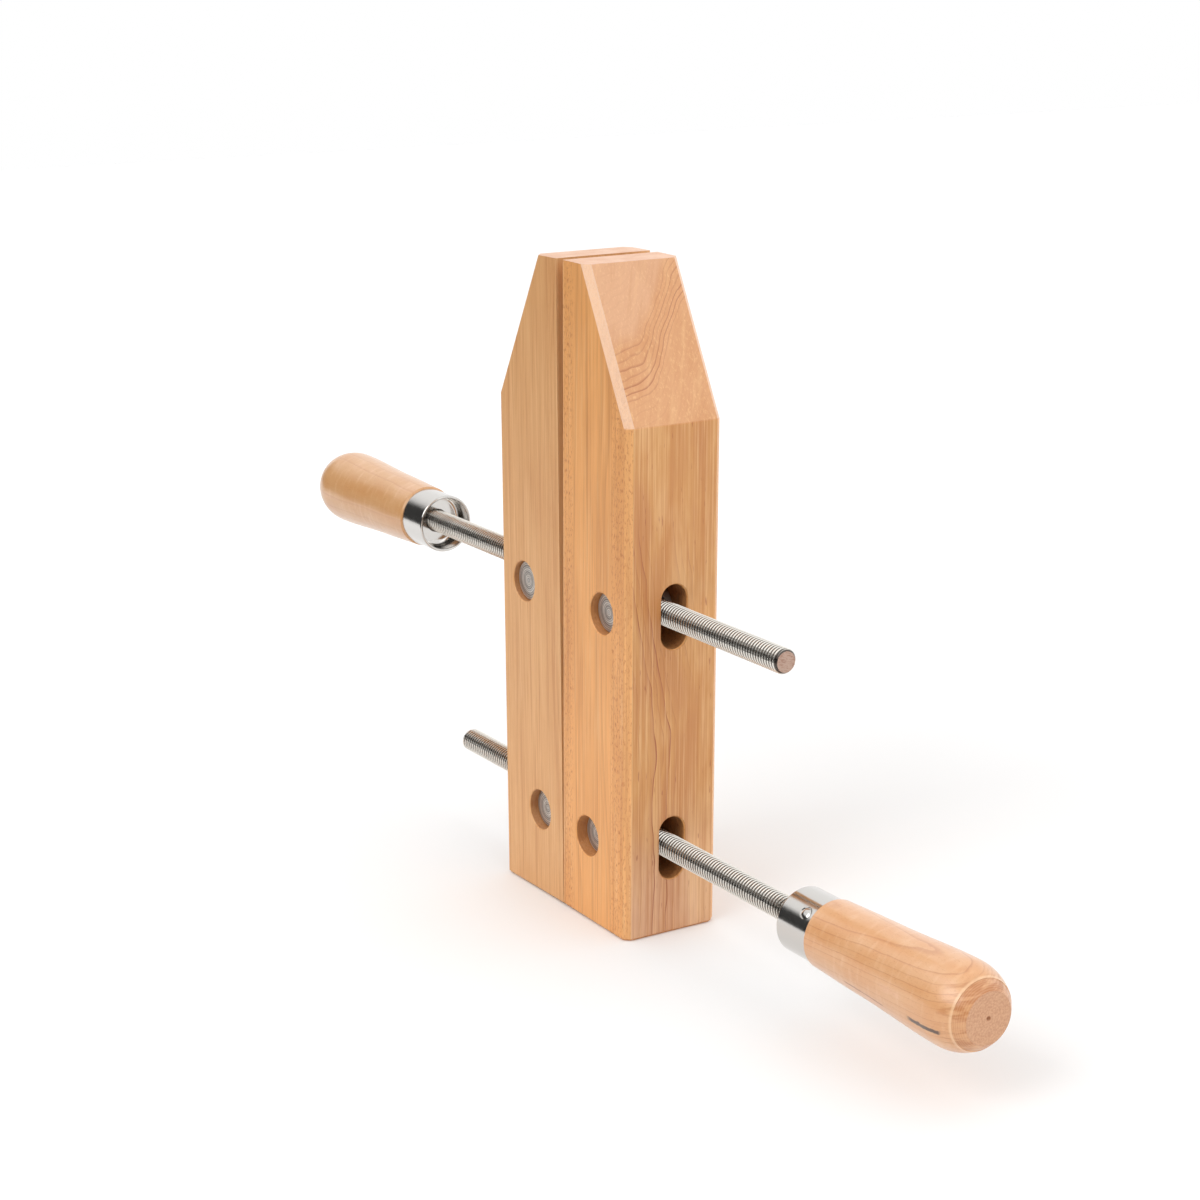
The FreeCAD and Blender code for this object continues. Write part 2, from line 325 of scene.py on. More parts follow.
@dataclass(frozen=True)
class JawLayout:
    """Sizes of a jaw in millimetres, as the CAD has them."""

    length: float = 254.0
    depth: float = 45.0
    thickness: float = 41.5
    tip_depth: float = 15.4
    nose_length: float = 55.5
    chamfer: float = 2.6
    butt_chamfer: float = 1.0
    spread_deg: float = 0.545
    butt_gap: float = 0.3
    slot_width: float = 11.3
    slot_height: float = 25.0
    bore_radius: float = 7.95
    bores: tuple[tuple[float, float], ...] = ((27.1, 125.5), (17.2, 34.3))

    @property
    def lift(self) -> float:
        """How far the inner edge of a butt stands off the floor."""
        return (self.depth - self.butt_chamfer) * math.sin(math.radians(self.spread_deg))

    def locate(self, s: Surface, side: Side) -> JawPlace:
        """Read where each point of a jaw lies.

        Args:
            s: The material that needs it.
            side: The side of the seam that the jaw lies on.

        Returns:
            The place, with a mask for each face.
        """
        x, y, z = s.place()
        lean = math.radians(self.spread_deg)
        out = x * float(side.value) - self.butt_gap / 2
        up = z - self.lift
        depth = out * math.cos(lean) - up * math.sin(lean)
        height = out * math.sin(lean) + up * math.cos(lean)
        nose_start = self.length - self.nose_length
        slope = (self.depth - self.tip_depth) / self.nose_length
        above = height.step(nose_start - 0.8, nose_start + 0.2)
        from_slope = ((height - nose_start) * slope + depth - self.depth) / math.hypot(1.0, slope)
        from_side = y.size() - self.thickness / 2
        return JawPlace(
            x=x, y=y, z=z, depth=depth, height=height, near=y / self.thickness + 0.5,
            on_outer=(depth - self.depth + 0.15).step(-0.1, 0.0) * (1.0 - above),
            on_nose=(from_slope + 0.15).step(-0.1, 0.0) * above,
            on_chamfer=(from_side + depth - self.depth + self.chamfer + 0.12).step(0.0, 0.05) * (1.0 - above),
            on_nose_chamfer=(from_side + from_slope + self.chamfer + 0.12).step(0.0, 0.05) * above,
            on_tip=(height - self.length + 0.1).step(-0.05, 0.0),
        )

    def in_slots(self, at: JawPlace) -> Reading:
        """Find the walls of the slots.

        Args:
            at: The place on the jaw.

        Returns:
            Their mask, from 0 to 1.
        """
        half_run = (self.slot_height - self.slot_width) / 2
        edge = self.slot_width / 2
        through = at.depth.step(0.1, 0.6) * at.depth.step(self.depth - 0.2, self.depth - 1.2)
        masks = []
        for _, middle in self.bores:
            beyond = (at.height - middle).size() - half_run
            beyond = (beyond + beyond.size()) * 0.5
            reach = (beyond ** 2 + at.y ** 2) ** 0.5
            masks.append(reach.step(edge + 0.25, edge + 0.05) * through)
        return masks[0] + masks[1]

    def in_bores(self, at: JawPlace) -> Reading:
        """Find the walls of the bores for the nuts.

        Args:
            at: The place on the jaw.

        Returns:
            Their mask, from 0 to 1.
        """
        masks = []
        for across, middle in self.bores:
            reach = ((at.depth - across) ** 2 + (at.height - middle) ** 2) ** 0.5
            masks.append(reach.step(self.bore_radius + 0.12, self.bore_radius - 0.02))
        return masks[0] + masks[1]


@dataclass(frozen=True)
class JawWood:
    """Oiled straight-grained hardwood for a jaw, with growth lines that bend on the outer faces.

    Attributes:
        name: The material's name.
        seed: What makes this piece of wood differ from another.
        ring_spacing: The width of a growth ring, in millimetres.
        ring_strength: How dark the late wood of a ring is.
        fleck_strength: How strong the orange flecks are.
        figure: How strong the bent growth lines are.
    """

    name: str
    seed: float
    ring_spacing: float
    ring_strength: float
    fleck_strength: float
    figure: float
    front: Colour = paint(238, 171, 103)
    outer: Colour = paint(210, 153, 94)
    nose: Colour = paint(217, 161, 116)
    late_wood: Colour = paint(190, 122, 66)
    growth_line: Colour = paint(164, 92, 62)
    fleck: Colour = paint(198, 124, 66)
    heartwood: Colour = paint(188, 122, 80)
    fresh_cut: Colour = paint(240, 196, 144)
    nose_edge_and_highlight: Colour = paint(240, 204, 176)
    tip: Colour = paint(226, 184, 156)
    tip_rings: Colour = paint(214, 163, 128)
    painted_slot_shade: Colour = paint(132, 82, 48)
    painted_bore_shade: Colour = paint(150, 92, 58)

    def make(self, side: Side, layout: JawLayout) -> Material:
        """Build the material.

        Args:
            side: The side of the seam that the jaw lies on.
            layout: The jaw's sizes.

        Returns:
            The material.
        """
        s = Surface(self.name, self.front)
        at = layout.locate(s, side)
        cloud = s.noise((at.depth / 14, at.y / 12 + self.seed, at.height / 60), 2.0)
        streak = s.noise((at.depth * 1.3 + self.seed, at.y * 1.3, at.height / 60), 3.0, 0.7)
        fibre = s.noise((at.depth * 6, at.y * 6, at.height / 5 + self.seed), 2.0, 0.6)
        flecks = self.flecks(s, at, layout, cloud)
        in_slots = layout.in_slots(at)

        self.ground(s, at, cloud)
        self.rings(s, at)
        self.flames(s, at)
        self.fibres(s, at, streak, fibre)
        s.coat(flecks, self.fleck)
        self.nose_lines(s, at, layout)
        self.edges(s, at)
        # Painted shade: the walls inside the slots and the bores for the nuts, where shade falls, are darkened in
        # colour, with a mottle.
        recess_shade_mottle = s.noise((at.x * 0.9, at.y * 0.9, at.z / 3), 3.0, 0.6)
        s.coat(in_slots * (0.22 + recess_shade_mottle * 0.55), self.painted_slot_shade)
        in_bores = layout.in_bores(at) * (1.0 - in_slots)
        s.coat(in_bores * (0.30 + recess_shade_mottle * 0.45), self.painted_bore_shade)

        s.relief(fibre * 0.5 + streak * 0.5 - flecks * 0.5, 0.05)
        s.set(Base_Color=s.colour, Roughness=0.42 + (fibre - 0.5) * 0.16 + in_slots * 0.2)
        s.set(Coat_Weight=0.10, Coat_Roughness=0.30, Specular_IOR_Level=0.35)
        return s.material

    def ground(self, s: Surface, at: JawPlace, cloud: Reading) -> None:
        """Lay the even tone of each face, paler near the butt, with a slow drift over it.

        Args:
            s: The jaw's material.
            at: The place on the jaw.
            cloud: The drift.
        """
        s.coat(at.on_outer, self.outer)
        s.coat(at.on_nose, self.nose)
        s.coat(at.height.step(62.0, 10.0) * at.on_outer * 0.62, self.tip)
        s.coat(cloud.step(0.38, 0.72) * 0.28, self.late_wood)

    def rings(self, s: Surface, at: JawPlace) -> None:
        """Add growth rings about a heart behind the jaw, and patches on the outer face.

        Args:
            s: The jaw's material.
            at: The place on the jaw.
        """
        drift = s.noise((at.depth / 34 + self.seed, at.y / 40, at.height / 150), 1.0)
        sway = s.noise((at.depth / 12 - self.seed, at.y / 14, at.height / 70), 1.0)
        radius = ((at.depth + 70) ** 2 + (at.y + 16) ** 2) ** 0.5 + (drift - 0.5) * 22 + (sway - 0.5) * 3.5
        ring = radius / self.ring_spacing
        strength = s.chance(ring.whole() + self.seed).step(0.15, 1.0)
        band = ring.part().step(0.15, 0.95) * ring.part().step(1.0, 0.96) * strength
        where = (1.0 - at.on_nose) * (1.0 - at.on_outer * 0.8)
        s.coat(band * where * self.ring_strength, self.late_wood)
        patch = s.noise((at.y / 13 + self.seed, at.height / 46, at.depth / 40), 3.0, 0.55)
        s.coat(patch.step(0.44, 0.66) * at.on_outer * 0.40, self.heartwood)
        s.coat(patch.step(0.50, 0.32) * at.on_outer * 0.32, self.fresh_cut)

    def flames(self, s: Surface, at: JawPlace) -> None:
        """Add the growth lines that bend down over the outer face, each with its shade beside it.

        Args:
            s: The jaw's material.
            at: The place on the jaw.
        """
        waver = s.noise((at.near * 1.5 + self.seed, at.height / 38, at.depth / 60), 2.0, 0.5)
        sheet = (at.near - at.height.step(168.0, 62.0) * 0.32 + (waver - 0.5) * 0.22) / 0.068
        strength = s.chance(sheet.whole() + self.seed * 3.1).step(-0.15, 1.0)
        fading = s.noise((sheet / 2.0, at.height / 20, self.seed), 1.0).step(0.34, 0.62)
        ending = sheet.part().step(1.0, 0.95)
        line = sheet.part().step(0.78, 0.94) * ending * (0.25 + fading * 0.75)
        shade = sheet.part().step(0.10, 0.95) * ending * 0.42
        where = at.height.step(176.0, 140.0) * at.near.step(0.85, 0.45) * at.on_outer
        s.coat((line + shade) * strength * where * self.figure, self.growth_line)

    def fibres(self, s: Surface, at: JawPlace, streak: Reading, fibre: Reading) -> None:
        """Add the fibres along the jaw, from broad stripes down to fine ones, and short dark ticks.

        Args:
            s: The jaw's material.
            at: The place on the jaw.
            streak: Narrow streaks.
            fibre: The finest fibres.
        """
        stripe = s.noise((at.depth / 2.6 + self.seed, at.y / 2.6, at.height / 130), 2.0, 0.6)
        tick = s.noise((at.depth * 1.1, at.y * 1.1 - self.seed, at.height / 7), 1.0)
        lengthwise = 1.0 - at.on_nose
        s.coat(stripe.step(0.50, 0.70) * lengthwise * 0.46, self.late_wood)
        s.coat(streak.step(0.51, 0.68) * lengthwise * 0.50, self.late_wood)
        s.coat(streak.step(0.48, 0.32) * 0.46, self.fresh_cut)
        s.coat(fibre.step(0.50, 0.72) * 0.16, self.late_wood)
        s.coat(tick.step(0.70, 0.78) * at.on_outer * 0.65, self.growth_line)

    def flecks(self, s: Surface, at: JawPlace, layout: JawLayout, cloud: Reading) -> Reading:
        """Find the short flecks in two strips of the side faces.

        Args:
            s: The jaw's material.
            at: The place on the jaw.
            layout: The jaw's sizes.
            cloud: Where the flecks are strong.

        Returns:
            Their mask.
        """
        dash = s.noise((at.depth * 1.7, at.y * 1.7 + self.seed, at.height / 2.0), 2.0, 0.6)
        strips = at.depth.step(8.5, 5.5) + at.depth.step(layout.depth - 12.5, layout.depth - 9.5)
        strips = strips * (0.4 + cloud * 1.2)
        return dash.step(0.53, 0.62) * strips * (1.0 - at.on_outer) * (1.0 - at.on_nose) * self.fleck_strength

    def nose_lines(self, s: Surface, at: JawPlace, layout: JawLayout) -> None:
        """Add the lines of the nose, where the rings are cut across: a fine bundle in an S.

        Args:
            s: The jaw's material.
            at: The place on the jaw.
            layout: The jaw's sizes.
        """
        down = (at.height * -1.0 + layout.length) / layout.nose_length
        ripple = s.noise((at.near * 2.6 + self.seed, down * 3.4, 0.0), 2.0, 0.5)
        field = down - 0.575 + at.near * 0.16 + at.near.step(0.28, 1.0) * 0.46 + (ripple - 0.5) * 0.12
        contour = field / 0.046
        strength = s.chance(contour.whole() + self.seed).step(-0.6, 1.0)
        line = contour.part().step(0.62, 0.93) * contour.part().step(1.0, 0.95) * strength
        bundle = field.step(-0.05, 0.01) * field.step(0.33, 0.22)
        slant = s.noise((at.near * 15 + down * 9, at.near * 1.2 - down * 2.0, self.seed), 2.0, 0.55)
        s.coat(line * (0.10 + bundle * 0.62 * self.figure) * at.on_nose, self.growth_line)
        s.coat(field.step(0.02, -0.12) * at.on_nose * 0.30, self.tip)
        s.coat(slant.step(0.52, 0.72) * at.on_nose * 0.22, self.fresh_cut)
        s.coat(slant.step(0.46, 0.28) * at.on_nose * 0.16, self.late_wood)

    def edges(self, s: Surface, at: JawPlace) -> None:
        """Make the eased edges a little paler, with a painted highlight on the chamfer of the nose, and the cut across
        the grain at the tip paler still.

        Args:
            s: The jaw's material.
            at: The place on the jaw.
        """
        pores = s.noise((at.x * 2.2, at.y * 2.2, at.z * 2.2 + self.seed), 2.0, 0.6)
        s.coat(at.on_chamfer * 0.22, self.fresh_cut)
        # Paler bare wood on the chamfer of the nose, partly a painted highlight where the edge catches the light.
        s.coat(at.on_nose_chamfer * (0.45 + pores * 0.45), self.nose_edge_and_highlight)
        blotch = s.noise((at.x / 6, at.y / 9, self.seed), 3.0, 0.6)
        s.coat(at.on_tip * 0.85, s.blend(blotch.step(0.36, 0.70), self.tip, self.tip_rings))
        rub = s.noise((at.height / 3, at.y, self.seed), 3.0, 0.6)
        s.coat(at.depth.step(0.9, 0.3) * (0.25 + rub * 0.7) * 0.45, self.fresh_cut)


@dataclass(frozen=True)
class WoodMark:
    """A dark streak along a handle, in millimetres from the shoulder."""

    start: float
    end: float
    angle_deg: float
    width: float
    strength: float
    colour: Colour


@dataclass(frozen=True)
class HandlePlace:
    """Where a point of a handle lies, as readings in millimetres.

    Attributes:
        y: The place across the handle, sideways from its axis.
        up: The height above the handle's axis.
        along: The distance from the shoulder towards the blunt end.
        end: The distance past the blunt end, so below 0 on the handle.
        towards: The distance from the axis towards the heart of the tree.
        past_ring: The mask of all that lies beyond the ring, from 0 to 1.
    """

    y: Reading
    up: Reading
    along: Reading
    end: Reading
    towards: Reading
    past_ring: Reading


@dataclass(frozen=True)
class HandleWood:
    """Varnished turned hardwood, with its grain along the handle.

    Attributes:
        name: The material's name.
        seed: What makes this piece of wood differ from another.
        heart_deg: The direction of the tree's heart about the handle's axis.
        slant: How fast the rings run out across the handle.
        ring_spacing: The width of a growth ring, in millimetres.
        line_strength: How dark the growth lines are.
    """

    name: str
    seed: float
    heart_deg: float
    slant: float
    ring_spacing: float
    line_strength: float
    body: Colour = paint(222, 172, 128)
    warm: Colour = paint(214, 153, 102)
    pink: Colour = paint(228, 176, 144)
    line: Colour = paint(176, 108, 68)
    painted_curl_glint: Colour = paint(244, 208, 170)
    stain: Colour = paint(178, 108, 56)
    turned_line: Colour = paint(244, 206, 160)
    painted_ring_highlight: Colour = paint(243, 206, 164)
    flat_dark: Colour = paint(188, 132, 94)
    flat_pale: Colour = paint(207, 156, 118)
    flat_rub: Colour = paint(236, 196, 156)
    pit: Colour = paint(128, 80, 46)

    def make(self, handle: HandleLayout, marks: Sequence[WoodMark]) -> Material:
        """Build the material.

        Args:
            handle: Where the handle lies.
            marks: Dark streaks in the wood.

        Returns:
            The material.
        """
        s = Surface(self.name, self.body)
        at = self.locate(s, handle)
        radius = (at.y ** 2 + at.up ** 2) ** 0.5
        streak = s.noise((at.along / 26, at.y * 1.1 + self.seed, at.up * 1.1), 3.0, 0.6)
        pore = s.noise((at.along / 1.1, at.y * 2.6, at.up * 2.6 + self.seed), 2.0, 0.6)
        turned = (at.along * 11.0).wave() * 0.5 + 0.5
        rub = (radius * 6.0).wave() * 0.5 + 0.5
        flat = at.end.step(-0.15, -0.03)

        self.grain(s, at, streak, pore)
        self.crown(s, at, handle, turned)
        fuzz = s.noise((at.y * 1.2, at.up * 1.2, self.seed), 3.0, 0.65)
        sawn = s.blend(fuzz.step(0.35, 0.65), self.flat_dark, self.flat_pale)
        s.coat(flat * 0.85, sawn)
        s.coat(flat * rub * 0.10, self.flat_rub)
        s.coat(radius.step(1.0, 0.5) * at.end.step(-1.0, -0.4) * 0.55, self.pit)
        for mark in marks:
            s.coat(self.streak_share(s, at, mark), mark.colour)

        s.relief(pore * 0.35 + turned * at.past_ring * 0.5 + rub * flat * 0.3, 0.04)
        s.set(Base_Color=s.colour, Roughness=0.32 + at.past_ring * 0.12 + (streak - 0.5) * 0.1)
        s.set(Coat_Weight=0.45, Coat_Roughness=0.14)
        return s.material

    def locate(self, s: Surface, handle: HandleLayout) -> HandlePlace:
        """Read where each point of a handle lies.

        Args:
            s: The handle's material.
            handle: Where the handle lies.

        Returns:
            The place.
        """
        x, y, z = s.place()
        along = x * float(handle.side.value) - handle.shoulder
        up = z - handle.height
        heart = math.radians(self.heart_deg)
        end = along - handle.length
        return HandlePlace(
            y=y, up=up, along=along, end=end, towards=y * math.cos(heart) + up * math.sin(heart),
            past_ring=end.step(-handle.ring_back - 0.10, -handle.ring_back + 0.05),
        )

    def grain(self, s: Surface, at: HandlePlace, streak: Reading, pore: Reading) -> None:
        """Lay the wood of the handle's side, with its rings, streaks and pores, and a painted glint where the grain
        curls.

        Args:
            s: The handle's material.
            at: The place on the handle.
            streak: Long streaks.
            pore: Short pores.
        """
        cloud = s.noise((at.along / 24 + self.seed, at.y / 9, at.up / 9), 2.0)
        sway = s.noise((at.along / 26 + self.seed, at.y / 9, at.up / 9), 2.0, 0.5)
        curl_glint_mask = s.noise((at.along * 0.45 + self.seed, at.y / 7, at.up / 7), 1.0)
        ring = (at.towards + at.along * self.slant - 0.9 + (sway - 0.5) * 1.3) / self.ring_spacing
        strength = s.chance(ring.whole() + self.seed).step(-0.5, 1.0)
        line = ring.part().step(0.80, 0.965) * ring.part().step(1.0, 0.975) * strength
        band = ring.part().step(0.1, 0.9) * ring.part().step(1.0, 0.94) * strength
        s.coat(cloud.step(0.36, 0.68) * 0.65, self.warm)
        s.coat(cloud.step(0.44, 0.28) * 0.5, self.pink)
        s.coat(band * 0.22, self.warm)
        s.coat(line * self.line_strength, self.line)
        s.coat(streak.step(0.54, 0.76) * 0.34, self.warm)
        s.coat(pore.step(0.57, 0.70) * 0.30, self.line)
        # Painted highlight: pale patches where the curly grain would catch the light.
        s.coat(curl_glint_mask.step(0.5, 0.75) * 0.16, self.painted_curl_glint)

    def crown(self, s: Surface, at: HandlePlace, handle: HandleLayout, turned: Reading) -> None:
        """Stain the blunt end in bands, because it is cut across the grain, with a painted highlight as a pale line
        just before the ring.

        Args:
            s: The handle's material.
            at: The place on the handle.
            handle: The handle's sizes.
            turned: The marks of the lathe.
        """
        brown = s.noise((at.towards / 1.5 + self.seed, at.along / 6, (at.y + at.up) / 9), 2.0, 0.6)
        s.coat(at.end.step(-12.0, -4.0) * brown.step(0.44, 0.66) * 0.50, self.stain)
        s.coat(at.past_ring * (0.26 + brown.step(0.40, 0.62) * 0.46), self.stain)
        s.coat(at.past_ring * turned * 0.16, self.turned_line)
        # Painted highlight: a pale line where the turned ring catches the light.
        painted_ring_highlight = at.end.step(-handle.ring_back - 1.1, -handle.ring_back - 0.5) * (1.0 - at.past_ring)
        s.coat(painted_ring_highlight * 0.5, self.painted_ring_highlight)

    @staticmethod
    def streak_share(s: Surface, at: HandlePlace, mark: WoodMark) -> Reading:
        """Find a dark streak.

        Args:
            s: The handle's material.
            at: The place on the handle.
            mark: The streak.

        Returns:
            How much of its colour there is.
        """
        angle = math.radians(mark.angle_deg)
        ahead = at.y * math.cos(angle) + at.up * math.sin(angle)
        across = at.y * -math.sin(angle) + at.up * math.cos(angle)
        ragged = s.noise((at.along / 2.4, at.y, at.up + mark.start), 2.0)
        width = mark.width / 2
        share = (across.size() + (ragged - 0.5) * width * 1.6).step(width, width * 0.45) * ahead.step(0.0, 4.0)
        share = share * at.along.step(mark.start, mark.start + 3.0) * at.along.step(mark.end, mark.end - 1.5)
        return share * mark.strength


@dataclass(frozen=True)
class NutSteel:
    """Turned mild steel, with the tool's rings on the ends of a nut."""

    name: str
    steel: Colour = paint(234, 229, 222)
    dark: Colour = paint(118, 112, 108)
    tarnish: Colour = paint(158, 140, 126)
    centre: Colour = paint(205, 203, 200)

    def make(self, place: Vector, seed: float) -> Material:
        """Build the material for a nut.

        Args:
            place: The nut's middle, in millimetres.
            seed: What makes the nut differ from another.

        Returns:
            The material.
        """
        s = Surface(self.name, self.steel)
        x, y, z = s.place()
        wobble = s.noise((x / 3 + seed, y / 3, z / 3), 1.0)
        radius = ((x - place.x) ** 2 + (z - place.z) ** 2) ** 0.5
        rings = ((radius + wobble * 0.5) * 7.5).wave() * 0.5 + 0.5
        broad = ((radius + wobble * 0.8) * 2.3 + seed).wave() * 0.5 + 0.5
        patch = s.noise((x / 2.2, y / 4 + seed, z / 2.2), 3.0, 0.6)
        s.coat(rings * 0.55 + broad * 0.35, self.dark)
        s.coat(patch.step(0.52, 0.75) * 0.35, self.tarnish)
        s.coat(radius.step(0.9, 0.4) * 0.6, self.centre)
        s.relief(rings + broad * 0.6, 0.06)
        s.set(Base_Color=s.colour, Roughness=0.36 + patch * 0.16, Metallic=0.85)
        return s.material


@dataclass(frozen=True)
class SpindleSteel:
    """Bright rolled thread, with painted shade in its roots and a raw sawn end."""

    name: str
    crest: Colour = paint(232, 228, 220)
    root: Colour = paint(52, 42, 36)
    sawn: Colour = paint(186, 158, 142)
    rust: Colour = paint(150, 104, 84)

    def make(self, spindle: SpindleLayout) -> Material:
        """Build the material for a spindle.

        Args:
            spindle: Where the spindle lies.

        Returns:
            The material.
        """
        s = Surface(self.name, self.crest)
        x, y, z = s.place()
        up = z - spindle.height
        radius = (y ** 2 + up ** 2) ** 0.5
        patch = s.noise((x / 6, y / 2, up / 2), 3.0, 0.6)
        fine = s.noise((x * 3, y * 3, up * 3), 2.0)
        # Painted shade: the thread's roots, between the crests where shade falls, are darkened in colour.
        painted_root_shade = radius.step(spindle.radius - 0.12, spindle.radius - 0.50)
        s.coat(painted_root_shade * 0.9, self.root)
        s.coat(patch.step(0.55, 0.8) * 0.25, self.rust)
        end = x * float(-spindle.handle_side.value) - spindle.free_reach
        face = end.step(-0.10, -0.04)
        marks = s.noise((y * 1.1 + up * 2.6, up * 0.7 - y * 0.4, x), 2.0, 0.6)
        sawn = s.blend(marks.step(0.45, 0.65) * 0.7, self.sawn, self.rust)
        s.coat(face, sawn)
        s.relief(fine * 0.3 + marks * face, 0.04)
        s.set(Base_Color=s.colour, Metallic=1.0 - face * 0.55)
        s.set(Roughness=0.20 + patch * 0.14 + face * 0.25)
        return s.material


@dataclass(frozen=True)
class FerruleChrome:
    """Bright plated sheet steel, drawn and lightly polished round."""

    name: str
    line_depth: float = 0.012
    plate: Colour = paint(206, 203, 199)
    dull: Colour = paint(150, 142, 134)

    def make(self) -> Material:
        """Build the material.

        Returns:
            The material.
        """
        s = Surface(self.name, self.plate)
        x, y, z = s.place()
        round_lines = s.noise((x * 5.5, y / 30, z / 30), 3.0, 0.7)
        smear = s.noise((x / 6, y / 5, z / 5), 2.0)
        speck = s.noise((x * 1.5, y * 1.5, z * 1.5), 3.0, 0.6)
        s.coat(speck.step(0.62, 0.78) * 0.35, self.dull)
        s.relief(round_lines, self.line_depth)
        s.set(Base_Color=s.colour, Metallic=1.0, Roughness=0.10 + smear * 0.10)
        return s.material


@dataclass(frozen=True)
class StudioPaper:
    """The pale sweep that the clamp stands on, painted a little darker under the clamp so that its shadow shows, and
    paler far away, where the lamps' light is weaker.
    """

    name: str = "studio_paper"
    painted_shade_under_clamp: Colour = (0.875, 0.875, 0.875)
    painted_light_far_away: Colour = (0.985, 0.985, 0.985)
    shade_falloff_mm: tuple[float, float] = (230.0, 620.0)

    def make(self) -> Material:
        """Build the material.

        Returns:
            The material.
        """
        s = Surface(self.name, self.painted_shade_under_clamp)
        x, y, z = s.place()
        tooth = s.noise((x / 2, y / 2, z / 2), 2.0)
        s.relief(tooth, 0.01)
        # Painted shade near the clamp, fading out to a paler floor far away, where less lamp light falls.
        away = ((x * x + y * y) ** 0.5).step(*self.shade_falloff_mm)
        s.coat(away, self.painted_light_far_away)
        s.set(Base_Color=s.colour, Roughness=0.85 + (tooth - 0.5) * 0.1)
        return s.material


@dataclass(frozen=True)
class SpindleLayout:
    """Where a spindle lies and what its thread is like, in millimetres.

    Attributes:
        name: Which of the two it is.
        height: The height of its axis.
        free_reach: How far its free end is from the seam.
        buried_reach: How far its other end, inside the handle, is from the seam.
        handle_side: The side that its handle is on.
        crest_end: Where the crest ends, as a share of a turn's advance.
        root_start: Where the root starts, likewise.
        root_end: Where the root ends, likewise.
        neck_overlap: How far the neck runs on under the threads.
        end_ease: How far the free end is bevelled.
    """

    name: str
    height: float
    free_reach: float
    buried_reach: float
    handle_side: Side
    radius: float = 4.73
    pitch: float = 1.5875
    thread_depth: float = 0.86
    crest_end: float = 0.12
    root_start: float = 0.47
    root_end: float = 0.65
    neck_half: float = 4.6
    neck_radius: float = 4.0
    neck_overlap: float = 0.6
    end_ease: float = 0.9
    facets: int = 28

    @property
    def root_radius(self) -> float:
        """The radius at the bottom of the thread."""
        return self.radius - self.thread_depth

    def reach(self, side: Side) -> float:
        """Return how far the spindle reaches from the seam on one side."""
        return self.buried_reach if side is self.handle_side else self.free_reach


@dataclass(frozen=True)
class HandleLayout:
    """Where a handle lies, in millimetres along the clamp's X axis from the seam."""

    side: Side
    height: float
    ferrule_reach: float = 129.5
    ferrule_length: float = 16.5
    length: float = 82.9
    ring_back: float = 3.5

    @property
    def shoulder(self) -> float:
        """Where the wood meets the ferrule's edge."""
        return self.ferrule_reach + self.ferrule_length


def finish_mesh(mesh: BMesh, name: str, material: Material) -> Object:
    """Turn a bmesh into an object of the scene, with one material.

    Args:
        mesh: The shape, in metres, in the clamp's frame. It is freed.
        name: The piece's name.
        material: The piece's material.

    Returns:
        The object.
    """
    data = bpy.data.meshes.new(name)
    mesh.to_mesh(data)
    mesh.free()
    data.materials.append(material)
    piece = bpy.data.objects.new(name, data)
    bpy.context.scene.collection.objects.link(piece)
    return piece


def dress(node: Object, material: Material) -> None:
    """Give a CAD node's every material slot one material.

    Args:
        node: The node.
        material: The material.
    """
    if not node.material_slots:
        node.data.materials.append(material)
    for place in node.material_slots:
        place.material = material


@dataclass
class Jaw:
    """One of the two wooden jaws."""

    side: Side
    wood: JawWood
    layout: JawLayout

    @property
    def node(self) -> str:
        """The name of the jaw's CAD node."""
        return "jaw_" + self.side.name.lower()

    def dress(self, nodes: dict[str, Object]) -> None:
        """Give the jaw its wood."""
        dress(nodes[self.node], self.wood.make(self.side, self.layout))
        LOG.info("%s dressed", self.node)


@dataclass
class Nut:
    """One of the four swivel nuts."""

    node: str
    seed: float

    def dress(self, nodes: dict[str, Object]) -> None:
        """Give the nut its turned steel.

        Args:
            nodes: The CAD's nodes by name.
        """
        low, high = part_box(self.node)
        middle = (Vector(low) + Vector(high)) / (2 * MM)
        dress(nodes[self.node], NutSteel("steel_" + self.node).make(middle, self.seed))
        LOG.info("%s dressed", self.node)


